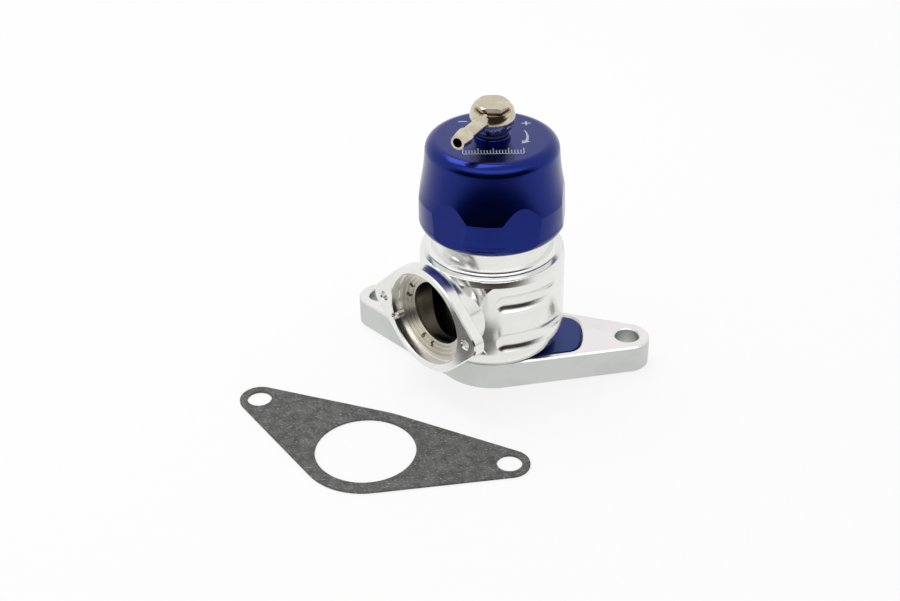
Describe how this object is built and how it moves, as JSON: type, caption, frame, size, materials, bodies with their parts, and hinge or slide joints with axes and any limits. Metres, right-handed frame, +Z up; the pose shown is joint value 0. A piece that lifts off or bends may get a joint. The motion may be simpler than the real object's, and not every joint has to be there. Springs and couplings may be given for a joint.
{
  "type": "blow-off valve",
  "caption": "Blow-off valve with a two-bolt base flange, a flanged side outlet, a screw-down adjusting cap, a swivelling hose barb and a loose flange gasket.",
  "frame": {"origin": "on the valve's axis, in the underside of the base flange, at the inlet's mouth", "axes": "+Z up along the valve's axis; X along the line between the two base bolts; the side outlet points to -Y and -X"},
  "size_m": [0.1321, 0.1125, 0.1017],
  "materials": {
    "base_aluminium": "satin polished",
    "body_aluminium": "polished",
    "blue_anodised": "blue anodised, glossy",
    "cap_anodised": "blue anodised, glossy",
    "ring_steel": "turned",
    "piston_anodised": "hard anodised, dark",
    "spring_steel": "drawn wire",
    "screw_steel": "machined",
    "nickel": "nickel plated",
    "washer_grey": "bonded",
    "rubber": "matt",
    "low_friction": "plain",
    "gasket_fibre": "fibre sheet"
  },
  "bodies": {
    "housing": {"base_flange": "base_aluminium", "retaining_plate_right": "blue_anodised", "retaining_plate_left": "blue_anodised", "plate_screws": "screw_steel", "valve_body": "body_aluminium", "base_o_ring": "rubber", "outlet_ring": "ring_steel", "outlet_ring_pin": "screw_steel", "cap_o_ring": "rubber", "flange_gasket": "gasket_fibre"},
    "piston": {"piston": "piston_anodised", "piston_rings": "low_friction", "valve_seal": "rubber", "seal_retainer": "piston_anodised", "seal_screw": "screw_steel", "main_spring": "spring_steel"},
    "spring_seat": {"spring_seat": "piston_anodised"},
    "cap": {"cap": "cap_anodised", "thrust_washer": "low_friction", "banjo_bolt": "nickel", "banjo_washer_lower": "washer_grey", "banjo_washer_upper": "washer_grey"},
    "union": {"banjo_fitting": "nickel"}
  },
  "joints": [
    {"name": "piston_lift", "type": "slide", "parent": "housing", "child": "piston", "axis": [0, 0, 1], "range_m": [0, 0.01], "stiffness_N_per_m": 3000, "springref_m": -0.015, "deforming": ["main_spring"]},
    {"name": "cap_lift", "type": "slide", "parent": "housing", "child": "spring_seat", "axis": [0, 0, 1], "range_m": [-0.0045, 0.0015]},
    {"name": "cap_turn", "type": "hinge", "parent": "spring_seat", "child": "cap", "pos_m": [0, 0, 0.0725], "axis": [0, 0, 1], "range_deg": [-1080, 360]},
    {"name": "union_swivel", "type": "hinge", "parent": "cap", "child": "union", "pos_m": [0, 0, 0.0975], "axis": [0, 0, 1], "continuous": true}
  ],
  "couplings": [
    {"joint": "cap_turn", "follows": "cap_lift", "rad_per_m": 4188.8}
  ]
}
